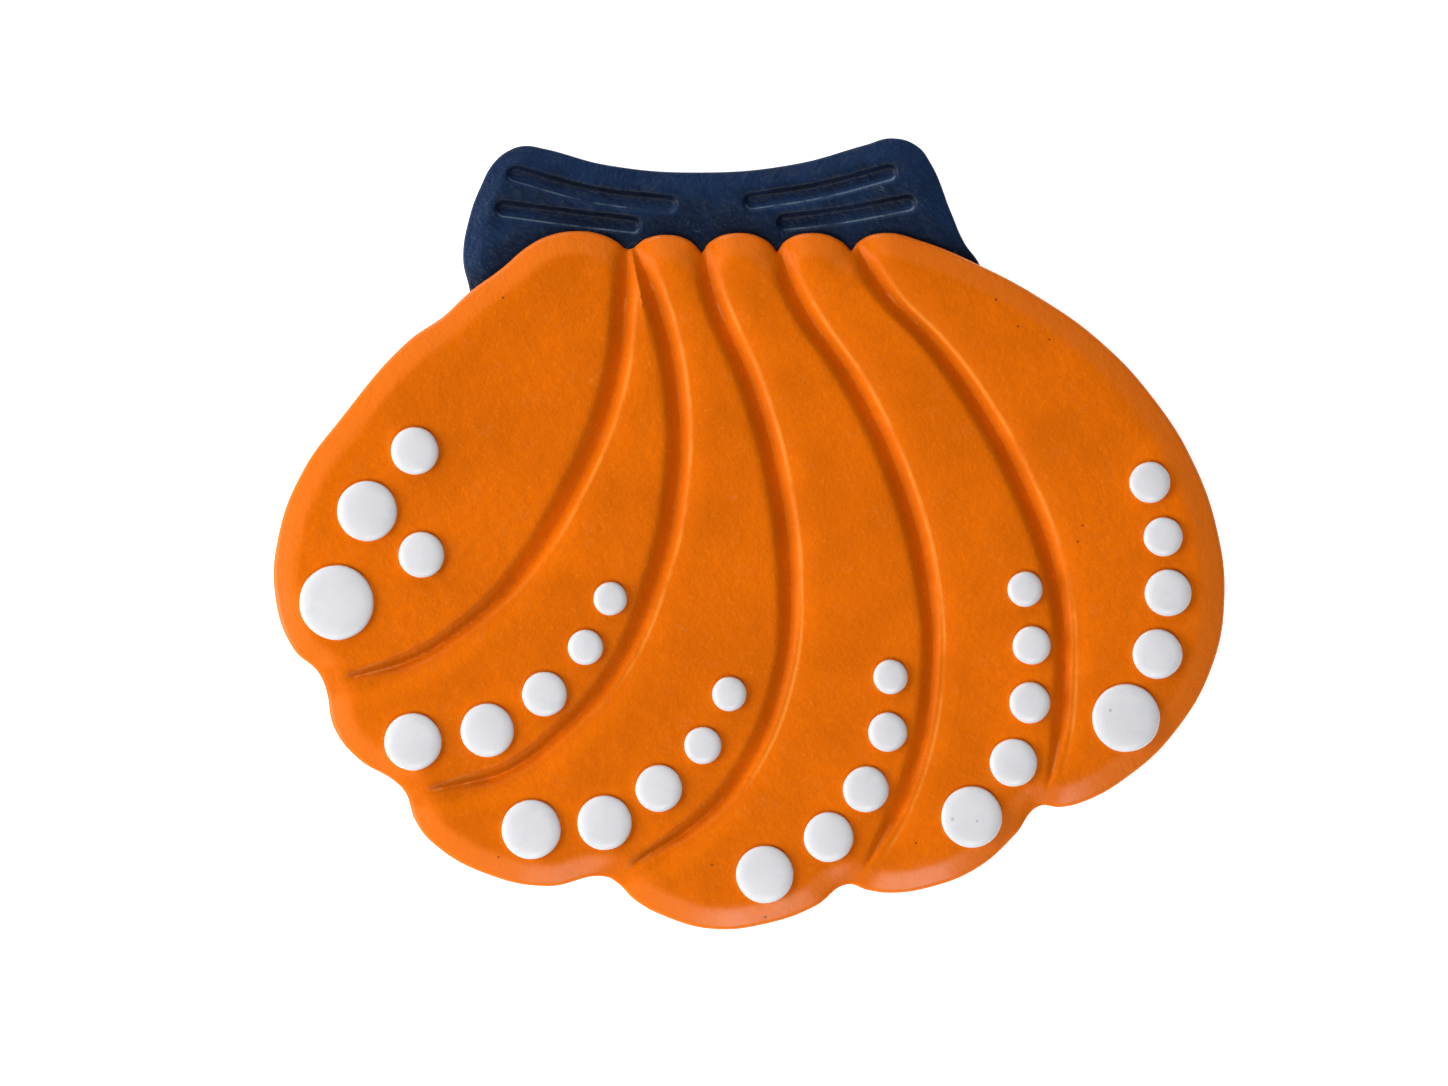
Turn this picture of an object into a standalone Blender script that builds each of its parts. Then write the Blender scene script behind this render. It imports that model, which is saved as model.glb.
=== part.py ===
"""Scallop-shell plaque moulded in soft rubber of three colours.

It is made of an orange shell body with six flat ribs and five round-bottomed grooves,
a lower navy hinge band with four blind slots, and white dots that stand in shallow
pockets on the ribs.

The plaque lies on its flat back. The origin is at the middle of the back, +X is to the
right, +Y is towards the hinge and +Z points out of the moulded face. Outline points are
in millimetres, and everything that is built from them is in metres.
"""
import math

import bmesh
import bpy
from mathutils import Vector

MM = 0.001

# Heights above the flat back.
BODY_TOP = 6.0 * MM
BODY_RIM = 5.2 * MM
HINGE_TOP = 4.4 * MM
HINGE_RIM = 3.9 * MM
DOT_TOP = 6.8 * MM

# The sloping band between the rim and the flat top, and the rounding of the rim.
BODY_BAND = 2.4 * MM
HINGE_BAND = 1.9 * MM
RIM_ROUNDING = 0.5 * MM
RIM_SEGMENTS = 2

# Grooves between the ribs.
GROOVE_WIDTH = 3.0 * MM
GROOVE_DEPTH = 1.3 * MM
GROOVE_RADIUS = (GROOVE_WIDTH ** 2 / 4 + GROOVE_DEPTH ** 2) / (2 * GROOVE_DEPTH)

# Slots in the hinge band.
SLOT_WIDTH = 1.5 * MM
SLOT_DEPTH = 0.6 * MM
SLOT_END_STEPS = 5

# Dots and their pockets.
POCKET_DEPTH = 0.5 * MM
DOT_ROUNDING = 0.35 * MM
DOT_SEGMENTS = 2
LARGE_DOT = 4.5 * MM
LARGE_DOT_SIDES = 16
SMALL_DOT_SIDES = 12

# Clearance between pieces that touch, and how far a cutter runs past what it cuts.
GAP = 0.3 * MM
OVERCUT = 2.0 * MM
WELD = 0.01 * MM

# Steps from one outline or groove point to the next.
OUTLINE_STEPS = 2
GROOVE_STEPS = 3
GROOVE_ROUND_STEPS = 6

# Shell body, clockwise from its left corner with the hinge band: the five rounded rib
# heads along the hinge, then the right side, the lobes along the bottom and the left side.
BODY_OUTLINE = [
    (-29.4, 25.2), (-26.0, 27.7), (-23.0, 30.2), (-20.7, 31.3), (-18.0, 31.7), (-15.3, 31.3),
    (-13.7, 30.5), (-12.7, 29.8), (-10.8, 30.9), (-8.7, 31.3), (-6.2, 30.7), (-4.9, 29.4),
    (-4.0, 30.6), (-1.2, 31.5), (1.9, 30.7), (3.0, 29.5), (3.9, 30.7), (6.7, 31.5),
    (9.6, 30.7), (10.8, 29.6), (11.7, 30.7), (14.2, 31.5), (18.3, 30.6), (24.3, 28.1),
    (30.3, 24.9), (37.0, 20.1), (42.5, 14.2), (46.7, 7.5), (49.3, 0.0), (50.0, -6.7),
    (48.8, -13.7), (44.7, -21.0), (39.7, -25.7), (35.0, -28.3), (32.7, -28.8), (30.5, -28.7),
    (28.0, -31.7), (24.0, -35.2), (18.7, -37.3), (14.7, -37.8), (12.5, -37.5), (10.4, -36.9),
    (7.0, -39.2), (2.0, -41.0), (-3.7, -41.6), (-8.7, -40.3), (-12.0, -38.5), (-13.7, -36.8),
    (-15.0, -36.1), (-21.0, -37.1), (-27.0, -36.0), (-33.0, -32.7), (-35.0, -30.2), (-36.0, -27.3),
    (-37.0, -26.2), (-41.0, -23.7), (-43.5, -20.5), (-44.4, -16.3), (-45.2, -14.6), (-47.7, -12.3),
    (-49.7, -6.7), (-49.3, 0.0), (-46.7, 6.7), (-43.0, 11.8), (-35.7, 20.2), (-32.0, 22.8),
]

# The notches between rib heads where the outline turns sharply.
HEAD_NOTCHES = [(-4.9, 29.4), (3.0, 29.5), (10.8, 29.6)]

# Hinge band, clockwise from its left corner with the body. The last points run under the
# rib heads, where the body cuts them away.
HINGE_OUTLINE = [
    (-29.3, 25.5), (-30.0, 28.8), (-29.3, 33.3), (-28.2, 36.3), (-26.7, 39.0), (-25.0, 40.3),
    (-23.5, 40.7), (-21.5, 40.4), (-15.0, 38.7), (-5.0, 37.9), (5.0, 38.8), (12.3, 40.8),
    (15.0, 41.5), (17.7, 40.7), (19.2, 38.8), (21.3, 33.7), (22.7, 30.5), (24.3, 28.2),
    (25.2, 24.5),
    (21.0, 23.0), (0.0, 23.0), (-26.0, 21.5), (-28.9, 22.8),
]

# Groove centre lines from the hinge to the rim, each run a little past the body.
GROOVES = [
    [(-12.7, 31.0), (-12.9, 25.0), (-14.2, 15.0), (-18.2, 5.0), (-24.5, -5.0), (-29.9, -10.0),
     (-35.0, -13.2), (-40.0, -14.8), (-47.5, -16.2)],
    [(-12.5, 31.0), (-9.8, 25.0), (-7.5, 15.0), (-7.5, 5.0), (-9.7, -5.0), (-14.3, -15.0),
     (-18.7, -20.0), (-25.0, -24.9), (-30.0, -26.4), (-39.0, -27.8)],
    [(-4.9, 31.0), (-3.6, 25.0), (0.6, 15.0), (3.3, 5.0), (4.4, -5.0), (3.6, -15.0),
     (-0.5, -25.0), (-4.8, -30.0), (-12.0, -34.8), (-16.8, -38.0)],
    [(2.9, 31.0), (5.1, 25.0), (11.6, 15.0), (16.2, 5.0), (18.8, -5.0), (19.2, -15.0),
     (17.3, -25.0), (12.9, -34.0), (8.8, -39.3)],
    [(10.8, 31.0), (14.7, 25.0), (19.5, 20.0), (23.3, 15.0), (28.9, 5.0), (32.4, -5.0),
     (33.2, -15.0), (31.9, -25.0), (29.7, -31.2)],
]

# Slot spines: the two ends and the middle of each, as points that the slot passes through.
SLOTS = [
    [(-24.5, 37.7), (-16.4, 35.5), (-8.4, 34.5)],
    [(-25.7, 34.0), (-19.7, 33.2), (-12.2, 32.3)],
    [(0.4, 34.8), (7.8, 36.0), (14.7, 37.8)],
    [(3.9, 32.6), (9.0, 33.2), (16.7, 34.6)],
]

# Dots on each rib, as centre and diameter. They grow towards the rim.
DOTS = [
    [(-35.0, 8.6, 5.0), (-40.0, 2.3, 6.3), (-34.3, -2.3, 4.8), (-43.2, -7.3, 7.8)],
    [(-14.5, -6.9, 3.5), (-17.1, -12.0, 3.7), (-21.4, -16.9, 4.7), (-27.4, -20.7, 5.6), (-35.2, -21.9, 6.0)],
    [(-2.0, -16.9, 3.6), (-4.8, -22.3, 3.9), (-9.4, -26.8, 4.9), (-15.1, -30.4, 5.7), (-22.8, -31.1, 6.2)],
    [(14.9, -15.1, 3.6), (14.6, -20.9, 4.1), (12.3, -26.9, 4.8), (8.4, -31.9, 5.2), (1.7, -35.8, 6.0)],
    [(29.0, -5.9, 3.7), (29.7, -11.8, 4.0), (29.5, -17.8, 4.3), (27.8, -24.1, 5.0), (23.4, -29.8, 6.4)],
    [(42.1, 5.3, 4.3), (43.5, -0.4, 4.1), (44.0, -6.3, 4.9), (42.9, -12.7, 5.2), (39.6, -19.4, 7.1)],
]

# Finish of each rubber: linear base colour and roughness.
ORANGE = ((0.72, 0.14, 0.004, 1.0), 0.42)
NAVY = ((0.010, 0.022, 0.058, 1.0), 0.55)
WHITE = ((0.74, 0.74, 0.77, 1.0), 0.38)


def clear_scene():
    for old in list(bpy.data.objects):
        bpy.data.objects.remove(old, do_unlink=True)


def new_collection(name):
    collection = bpy.data.collections.new(name)
    bpy.context.scene.collection.children.link(collection)
    return collection


def rubber(name, finish):
    colour, roughness = finish
    material = bpy.data.materials.new(name)
    material.use_nodes = True
    shader = material.node_tree.nodes["Principled BSDF"]
    shader.inputs["Base Color"].default_value = colour
    shader.inputs["Roughness"].default_value = roughness
    shader.inputs["Metallic"].default_value = 0.0
    material.diffuse_color = colour
    return material


def in_metres(points):
    return [Vector((x * MM, y * MM)) for x, y in points]


def grown(points, distance):
    """Move the sides of a clockwise closed outline outwards, with mitred corners."""
    moved = []
    for index, point in enumerate(points):
        before = (point - points[index - 1]).normalized()
        after = (points[(index + 1) % len(points)] - point).normalized()
        bisector = Vector((-before.y - after.y, before.x + after.x))
        moved.append(point + bisector * (2 * distance / bisector.length_squared))
    return moved


def smooth_curve(name, points, closed, steps, corners=()):
    """A Bezier curve through flat points, smooth at all but the ones numbered in corners."""
    curve = bpy.data.curves.new(name, "CURVE")
    curve.resolution_u = steps
    spline = curve.splines.new("BEZIER")
    spline.bezier_points.add(len(points) - 1)
    for index, (bezier_point, point) in enumerate(zip(spline.bezier_points, points)):
        handle_type = "VECTOR" if index in corners else "AUTO"
        bezier_point.co = (point.x, point.y, 0.0)
        bezier_point.handle_left_type = handle_type
        bezier_point.handle_right_type = handle_type
    spline.use_cyclic_u = closed
    return curve


def as_mesh_object(name, curve, height, collection):
    """Turn a curve into a closed mesh object, moved up by height."""
    holder = bpy.data.objects.new(name + "_curve", curve)
    collection.objects.link(holder)
    holder.location.z = height
    bpy.context.view_layer.update()
    evaluated = holder.evaluated_get(bpy.context.evaluated_depsgraph_get())
    mesh = bpy.data.meshes.new_from_object(evaluated)
    mesh.name = name
    piece = bpy.data.objects.new(name, mesh)
    piece.matrix_world = holder.matrix_world
    collection.objects.link(piece)
    bpy.data.objects.remove(holder)
    shape = bmesh.new()
    shape.from_mesh(mesh)
    bmesh.ops.remove_doubles(shape, verts=shape.verts, dist=WELD)
    bmesh.ops.recalc_face_normals(shape, faces=shape.faces)
    shape.to_mesh(mesh)
    shape.free()
    return piece


def slab(name, points, bottom, top, collection, steps=OUTLINE_STEPS, corners=()):
    """A flat outline raised from bottom to top."""
    curve = smooth_curve(name, points, True, steps, corners)
    curve.dimensions = "2D"
    curve.fill_mode = "BOTH"
    curve.extrude = (top - bottom) / 2
    return as_mesh_object(name, curve, (top + bottom) / 2, collection)


def crown(piece, band, rise):
    """Slope a slab's top up to a flat over a band, then round its rim."""
    shape = bmesh.new()
    shape.from_mesh(piece.data)
    top = max(vertex.co.z for vertex in shape.verts)
    caps = [face for face in shape.faces if face.calc_center_median().z > top - WELD]
    bmesh.ops.dissolve_faces(shape, faces=caps)
    cap = [face for face in shape.faces if face.calc_center_median().z > top - WELD]
    rim = [edge for edge in cap[0].edges]
    bmesh.ops.inset_region(shape, faces=cap, thickness=band, depth=rise, use_even_offset=True)
    bmesh.ops.bevel(
        shape, geom=rim, offset=RIM_ROUNDING, segments=RIM_SEGMENTS, profile=0.5, affect="EDGES",
    )
    shape.to_mesh(piece.data)
    shape.free()


def make_cutter(piece):
    piece.hide_render = True
    piece.display_type = "WIRE"
    return piece


def cut(piece, cutter):
    modifier = piece.modifiers.new(cutter.name, "BOOLEAN")
    modifier.operation = "DIFFERENCE"
    modifier.solver = "EXACT"
    modifier.object = cutter


def groove_cutter(name, points, collection):
    """A round bar along a groove, whose lowest part cuts the groove's section."""
    curve = smooth_curve(name, points, False, GROOVE_STEPS)
    curve.dimensions = "3D"
    curve.bevel_depth = GROOVE_RADIUS
    curve.bevel_resolution = GROOVE_ROUND_STEPS
    curve.use_fill_caps = True
    axis_height = BODY_TOP - GROOVE_DEPTH + GROOVE_RADIUS
    return make_cutter(as_mesh_object(name, curve, axis_height, collection))


def slot_outline(start, middle, end):
    """Points round a slot: two long sides through the middle and two half-round ends."""
    half = SLOT_WIDTH / 2
    along_start = (middle - start).normalized()
    along_end = (end - middle).normalized()
    along_middle = (end - start).normalized()

    def half_round(centre, along):
        heading = math.atan2(along.y, along.x)
        angles = [heading + math.pi / 2 - math.pi * k / SLOT_END_STEPS for k in range(SLOT_END_STEPS + 1)]
        return [centre + Vector((math.cos(a), math.sin(a))) * half for a in angles]

    across = Vector((-along_middle.y, along_middle.x)) * half
    far_end = half_round(end, along_end)
    near_end = half_round(start, -along_start)
    return [middle + across] + far_end + [middle - across] + near_end


def round_block(name, diameter, bottom, top, sides, collection, rounding=0.0):
    """An upright round piece about its own origin, with its top edge rounded if asked."""
    shape = bmesh.new()
    bmesh.ops.create_cone(
        shape, cap_ends=True, segments=sides, radius1=diameter / 2, radius2=diameter / 2,
        depth=top - bottom,
    )
    bmesh.ops.translate(shape, verts=shape.verts, vec=(0.0, 0.0, (top + bottom) / 2))
    if rounding > 0.0:
        top_edges = [edge for edge in shape.edges if all(vertex.co.z > top - WELD for vertex in edge.verts)]
        bmesh.ops.bevel(
            shape, geom=top_edges, offset=rounding, segments=DOT_SEGMENTS, profile=0.5, affect="EDGES",
        )
    mesh = bpy.data.meshes.new(name)
    shape.to_mesh(mesh)
    shape.free()
    piece = bpy.data.objects.new(name, mesh)
    collection.objects.link(piece)
    return piece


def dot_sides(diameter):
    return LARGE_DOT_SIDES if diameter > LARGE_DOT else SMALL_DOT_SIDES


def finish(piece, material):
    piece.data.materials.clear()
    piece.data.materials.append(material)
    piece.data.shade_smooth()
    piece.data.set_sharp_from_angle(angle=math.radians(30))


def notch_numbers():
    return [BODY_OUTLINE.index(point) for point in HEAD_NOTCHES]


def build_body(parts, cutters):
    body = slab("shell_body", in_metres(BODY_OUTLINE), 0.0, BODY_RIM, parts, corners=notch_numbers())
    crown(body, BODY_BAND, BODY_TOP - BODY_RIM)
    for number, points in enumerate(GROOVES, start=1):
        cut(body, groove_cutter(f"groove_{number}", in_metres(points), cutters))
    finish(body, rubber("orange_rubber", ORANGE))
    return body


def build_hinge(parts, cutters):
    hinge = slab("hinge_band", in_metres(HINGE_OUTLINE), 0.0, HINGE_RIM, parts)
    crown(hinge, HINGE_BAND, HINGE_TOP - HINGE_RIM)
    room = grown(in_metres(BODY_OUTLINE), GAP)
    body_room = slab("body_room", room, -OVERCUT, BODY_TOP + OVERCUT, cutters, corners=notch_numbers())
    cut(hinge, make_cutter(body_room))
    for number, spine in enumerate(SLOTS, start=1):
        outline = slot_outline(*in_metres(spine))
        floor = HINGE_TOP - SLOT_DEPTH
        slot = slab(f"slot_{number}", outline, floor, HINGE_TOP + OVERCUT, cutters, steps=1)
        cut(hinge, make_cutter(slot))
    finish(hinge, rubber("navy_rubber", NAVY))


def build_dots(body, parts, cutters):
    white = rubber("white_rubber", WHITE)
    floor = BODY_TOP - POCKET_DEPTH
    for rib, dots in enumerate(DOTS, start=1):
        for number, (x, y, millimetres) in enumerate(dots, start=1):
            place = Vector((x, y, 0.0)) * MM
            diameter = millimetres * MM
            sides = dot_sides(diameter)
            name = f"rib{rib}_dot{number}"
            dot = round_block(name, diameter, floor + GAP, DOT_TOP, sides, parts, DOT_ROUNDING)
            dot.location = place
            finish(dot, white)
            pocket = round_block(
                name + "_pocket", diameter + 2 * GAP, floor, BODY_TOP + OVERCUT, sides, cutters,
            )
            pocket.location = place
            cut(body, make_cutter(pocket))


def main():
    clear_scene()
    parts = new_collection("scallop_shell_plaque")
    cutters = new_collection("cutters")
    body = build_body(parts, cutters)
    build_hinge(parts, cutters)
    build_dots(body, parts, cutters)
    bpy.context.view_layer.update()


main()
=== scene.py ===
"""Dress the scallop-shell plaque: the moulded relief, the rubber finishes and the studio.

The plaque lies on its flat back, with +X to the right, +Y towards the hinge and +Z out of
the moulded face. Points are in millimetres, and everything built from them is in metres.
"""
import math

import bmesh
import bpy
import numpy as np
from bpy.props import FloatProperty, FloatVectorProperty, IntProperty, PointerProperty
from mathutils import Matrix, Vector
from mathutils.geometry import delaunay_2d_cdt


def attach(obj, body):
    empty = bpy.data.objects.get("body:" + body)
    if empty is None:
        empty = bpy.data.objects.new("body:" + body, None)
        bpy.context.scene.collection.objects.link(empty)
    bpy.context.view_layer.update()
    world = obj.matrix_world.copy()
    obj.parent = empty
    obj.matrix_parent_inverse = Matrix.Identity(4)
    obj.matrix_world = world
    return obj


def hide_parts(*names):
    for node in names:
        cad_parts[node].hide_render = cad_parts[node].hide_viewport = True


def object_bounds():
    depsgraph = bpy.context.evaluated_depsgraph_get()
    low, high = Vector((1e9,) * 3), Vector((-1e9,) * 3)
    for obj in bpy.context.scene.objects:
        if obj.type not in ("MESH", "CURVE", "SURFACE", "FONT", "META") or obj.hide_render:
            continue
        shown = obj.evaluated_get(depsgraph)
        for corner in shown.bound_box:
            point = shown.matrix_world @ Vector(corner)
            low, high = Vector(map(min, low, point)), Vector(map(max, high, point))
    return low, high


bl_info = {
    "name": "Scallop shell plaque",
    "version": (1, 0, 0),
    "blender": (4, 5, 0),
    "location": "3D View > Sidebar > Plaque",
    "description": "Makes a rubber scallop-shell plaque with its relief, dots, finishes and studio",
    "category": "Object",
}

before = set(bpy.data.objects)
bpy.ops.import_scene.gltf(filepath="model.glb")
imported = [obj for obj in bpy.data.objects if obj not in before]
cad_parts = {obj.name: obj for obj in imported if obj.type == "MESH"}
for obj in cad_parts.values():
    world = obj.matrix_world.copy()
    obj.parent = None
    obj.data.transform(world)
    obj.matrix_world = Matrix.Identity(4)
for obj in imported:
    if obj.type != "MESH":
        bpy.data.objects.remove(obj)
CAD_LOW, CAD_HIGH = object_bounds()

MM = 0.001
BODY = "root"
BODY_NODE = "shell_body"
HINGE_SKIN = "hinge_band_skin"
HINGE_NODE = "hinge_band"
DOT_NODES = sorted(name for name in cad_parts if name.startswith("rib"))

# Shell body, clockwise from its left corner with the hinge band.
BODY_OUTLINE = [
    (-29.4, 25.2), (-26.0, 27.7), (-23.0, 30.2), (-20.7, 31.3), (-18.0, 31.7), (-15.3, 31.3),
    (-13.7, 30.5), (-12.7, 29.8), (-10.8, 30.9), (-8.7, 31.3), (-6.2, 30.7), (-4.9, 29.4),
    (-4.0, 30.6), (-1.2, 31.5), (1.9, 30.7), (3.0, 29.5), (3.9, 30.7), (6.7, 31.5),
    (9.6, 30.7), (10.8, 29.6), (11.7, 30.7), (14.2, 31.5), (18.3, 30.6), (24.3, 28.1),
    (30.3, 24.9), (37.0, 20.1), (42.5, 14.2), (46.7, 7.5), (49.3, 0.0), (50.0, -6.7),
    (48.8, -13.7), (44.7, -21.0), (39.7, -25.7), (35.0, -28.3), (32.7, -28.8), (30.5, -28.7),
    (28.0, -31.7), (24.0, -35.2), (18.7, -37.3), (14.7, -37.8), (12.5, -37.5), (10.4, -36.9),
    (7.0, -39.2), (2.0, -41.0), (-3.7, -41.6), (-8.7, -40.3), (-12.0, -38.5), (-13.7, -36.8),
    (-15.0, -36.1), (-21.0, -37.1), (-27.0, -36.0), (-33.0, -32.7), (-35.0, -30.2), (-36.0, -27.3),
    (-37.0, -26.2), (-41.0, -23.7), (-43.5, -20.5), (-44.4, -16.3), (-45.2, -14.6), (-47.7, -12.3),
    (-49.7, -6.7), (-49.3, 0.0), (-46.7, 6.7), (-43.0, 11.8), (-35.7, 20.2), (-32.0, 22.8),
]

# The notches between rib heads where the outline turns sharply.
HEAD_NOTCHES = [(-4.9, 29.4), (3.0, 29.5), (10.8, 29.6)]

# Free edge of the hinge band, clockwise from its left corner with the body, and the rest
# of its outline, which runs under the rib heads.
HINGE_FREE_EDGE = [
    (-29.3, 25.5), (-30.0, 28.8), (-29.3, 33.3), (-28.2, 36.3), (-26.7, 39.0), (-25.0, 40.3),
    (-23.5, 40.7), (-21.5, 40.4), (-15.0, 38.7), (-5.0, 37.9), (5.0, 38.8), (12.3, 40.8),
    (15.0, 41.5), (17.7, 40.7), (19.2, 38.8), (21.3, 33.7), (22.7, 30.5), (24.3, 28.2),
    (25.2, 24.5),
]
HINGE_UNDER_HEADS = [(21.0, 23.0), (0.0, 23.0), (-26.0, 21.5), (-28.9, 22.8)]

# Groove centre lines from the hinge to the rim, each run a little past the body.
GROOVES = [
    [(-12.7, 31.0), (-12.9, 25.0), (-14.2, 15.0), (-18.2, 5.0), (-24.5, -5.0), (-29.9, -10.0),
     (-35.0, -13.2), (-40.0, -14.8), (-47.5, -16.2)],
    [(-12.5, 31.0), (-9.8, 25.0), (-7.5, 15.0), (-7.5, 5.0), (-9.7, -5.0), (-14.3, -15.0),
     (-18.7, -20.0), (-25.0, -24.9), (-30.0, -26.4), (-39.0, -27.8)],
    [(-4.9, 31.0), (-3.6, 25.0), (0.6, 15.0), (3.3, 5.0), (4.4, -5.0), (3.6, -15.0),
     (-0.5, -25.0), (-4.8, -30.0), (-12.0, -34.8), (-16.8, -38.0)],
    [(2.9, 31.0), (5.1, 25.0), (11.6, 15.0), (16.2, 5.0), (18.8, -5.0), (19.2, -15.0),
     (17.3, -25.0), (12.9, -34.0), (8.8, -39.3)],
    [(10.8, 31.0), (14.7, 25.0), (19.5, 20.0), (23.3, 15.0), (28.9, 5.0), (32.4, -5.0),
     (33.2, -15.0), (31.9, -25.0), (29.7, -31.2)],
]

# Slot spines: the two ends and the middle of each.
SLOTS = [
    [(-24.5, 37.7), (-16.4, 35.5), (-8.4, 34.5)],
    [(-25.7, 34.0), (-19.7, 33.2), (-12.2, 32.3)],
    [(0.4, 34.8), (7.8, 36.0), (14.7, 37.8)],
    [(3.9, 32.6), (9.0, 33.2), (16.7, 34.6)],
]

# Dots on each rib, as centre and diameter. They grow towards the rim.
DOTS = [
    [(-35.0, 8.6, 5.0), (-40.0, 2.3, 6.3), (-34.3, -2.3, 4.8), (-43.2, -7.3, 7.8)],
    [(-14.5, -6.9, 3.5), (-17.1, -12.0, 3.7), (-21.4, -16.9, 4.7), (-27.4, -20.7, 5.6), (-35.2, -21.9, 6.0)],
    [(-2.0, -16.9, 3.6), (-4.8, -22.3, 3.9), (-9.4, -26.8, 4.9), (-15.1, -30.4, 5.7), (-22.8, -31.1, 6.2)],
    [(14.9, -15.1, 3.6), (14.6, -20.9, 4.1), (12.3, -26.9, 4.8), (8.4, -31.9, 5.2), (1.7, -35.8, 6.0)],
    [(29.0, -5.9, 3.7), (29.7, -11.8, 4.0), (29.5, -17.8, 4.3), (27.8, -24.1, 5.0), (23.4, -29.8, 6.4)],
    [(42.1, 5.3, 4.3), (43.5, -0.4, 4.1), (44.0, -6.3, 4.9), (42.9, -12.7, 5.2), (39.6, -19.4, 7.1)],
]

# Pinholes left by air in the rubber, as place and diameter.
ORANGE_PINHOLES = [
    (26.0, 24.5, 0.3), (28.3, 21.7, 0.25), (31.6, 20.3, 0.25), (35.1, 0.8, 0.25), (34.6, -0.9, 0.3),
    (17.6, -32.5, 0.25), (1.8, -40.3, 0.35), (-3.8, -34.8, 0.25), (-26.2, -34.0, 0.25), (-25.7, 24.7, 0.3),
]
WHITE_PINHOLES = [(21.4, -30.0, 0.4), (24.0, -30.2, 0.35), (38.0, -18.6, 0.45)]

# Distances of the mesh rows from an edge, a groove line and a slot spine.
EDGE_ROWS = [0.05, 0.12, 0.22, 0.35, 0.5, 0.9, 1.4, 1.85, 2.15, 2.3, 2.4, 2.5, 2.65, 2.95]
HINGE_EDGE_ROWS = [0.05, 0.12, 0.22, 0.35, 0.5, 0.8, 1.2, 1.6, 1.8, 1.9, 2.0, 2.2]
GROOVE_ROWS = [
    0.0, 0.12, 0.25, 0.4, 0.6, 0.8, 0.95, 1.04, 1.1, 1.16, 1.25, 1.4, 1.55, 1.75, 2.1, 2.6, 3.1,
]
SLOT_ROWS = [0.0, 0.25, 0.4, 0.48, 0.56, 0.65, 0.75, 0.85, 0.93, 1.0, 1.1, 1.35]

# Run of each groove wall as a share of the groove's width, and the flat floor between them.
LEFT_WALL = 0.47
RIGHT_WALL = 0.42
GROOVE_FLOOR = 0.1 * MM

# How far across the part a channel runs before it begins to count as level, and when it does.
LEVEL_FROM, LEVEL_TO = 0.45, 0.9

# Distance from a channel's line over which its two sides blend.
SIDE_BLUR = 0.08 * MM

# Below these places the grooves that run down begin to be less deep, and are so in full.
LOW_FROM, LOW_TO = 0.0, -15.0 * MM
LOW_LOSS = 0.25

# Steps and spacing of the plans, in millimetres.
CURVE_STEPS = 16
EDGE_SPACING = 0.4
LINE_SPACING = 0.45
FILL_SPACING = 0.9
SHARE_OF_SPACING = 0.45
FILL_ROOM = 0.6
ROW_TOLERANCE = 0.1
MERGE = 1e-7

# Heights of a blank before its relief is raised, in millimetres.
BLANK_HEIGHT = 3.0
FOOT_HEIGHT = 0.3
BODY_FOOT_INSET = 0.2
TOP_MARK = "moulded_face"

# Tones of the finishes, as red, green, blue and alpha.
# Real chalk bloom, specks and dust, and also the painted highlight on the slots' lower lips.
CHALK_AND_HIGHLIGHT = (0.24, 0.34, 0.46, 1.0)
SPECK = (0.92, 0.24, 0.02, 1.0)
# Painted highlight along the groove crests.
CREST_HIGHLIGHT = (0.95, 0.285, 0.03, 1.0)
# Painted highlight on the groove floors near their ends.
VALLEY_HIGHLIGHT = (0.88, 0.26, 0.05, 1.0)
# Paler tone on the edge band: painted sheen.
BAND_SHEEN = (0.86, 0.178, 0.008, 1.0)
ORANGE_LINT = (0.85, 0.35, 0.10, 1.0)
SMUDGE = (0.62, 0.66, 0.72, 1.0)
# Painted shade in the white dots' pinholes.
PINHOLE_SHADE = (0.18, 0.15, 0.13, 1.0)
PAPER = (0.93, 0.93, 0.93, 1.0)
BRIGHT_PAPER = (0.96, 0.96, 0.96, 1.0)
WHITE = (1.0, 1.0, 1.0, 1.0)

# Soft lights: azimuth and elevation from the plaque in degrees, and share of the light size.
LIGHTS = {"left_light": (190, 25, 1.0), "near_light": (278, 50, 0.6), "far_light": (115, 18, 1.0)}
FLOOR_HALF_WIDTH = 1.5
FLOOR_DROP = 0.2 * MM

# The camera aims at this share of the plaque's height, and sees between these distances.
AIM_SHARE = 0.7
CLIP_NEAR, CLIP_FAR = 0.01, 10.0


# ---------------------------------------------------------------- settings

class PlaqueBodySettings(bpy.types.PropertyGroup):
    """Sizes and colour of the orange shell body."""

    flat_height: FloatProperty(name="Flat height", default=6.0 * MM, unit="LENGTH",
                               description="Height of the flat ribs above the back")
    rim_height: FloatProperty(name="Rim height", default=5.2 * MM, unit="LENGTH",
                              description="Height of the rim above the back")
    band_width: FloatProperty(name="Band width", default=2.4 * MM, unit="LENGTH",
                              description="Width of the sloping band inside the rim")
    rim_rounding: FloatProperty(name="Rim rounding", default=0.35 * MM, unit="LENGTH",
                                description="Radius of the rim")
    groove_depth: FloatProperty(name="Groove depth", default=1.3 * MM, unit="LENGTH",
                                description="Depth of the grooves between the ribs")
    groove_width: FloatProperty(name="Groove width", default=3.0 * MM, unit="LENGTH",
                                description="Width of the grooves at the flat ribs")
    waviness: FloatProperty(name="Waviness", default=0.02 * MM, unit="LENGTH",
                            description="How far the moulded face wanders from true")
    colour: FloatVectorProperty(name="Orange", default=(0.82, 0.156, 0.0009), subtype="COLOR",
                                size=3, min=0.0, max=1.0, description="Colour of the body rubber")


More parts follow.
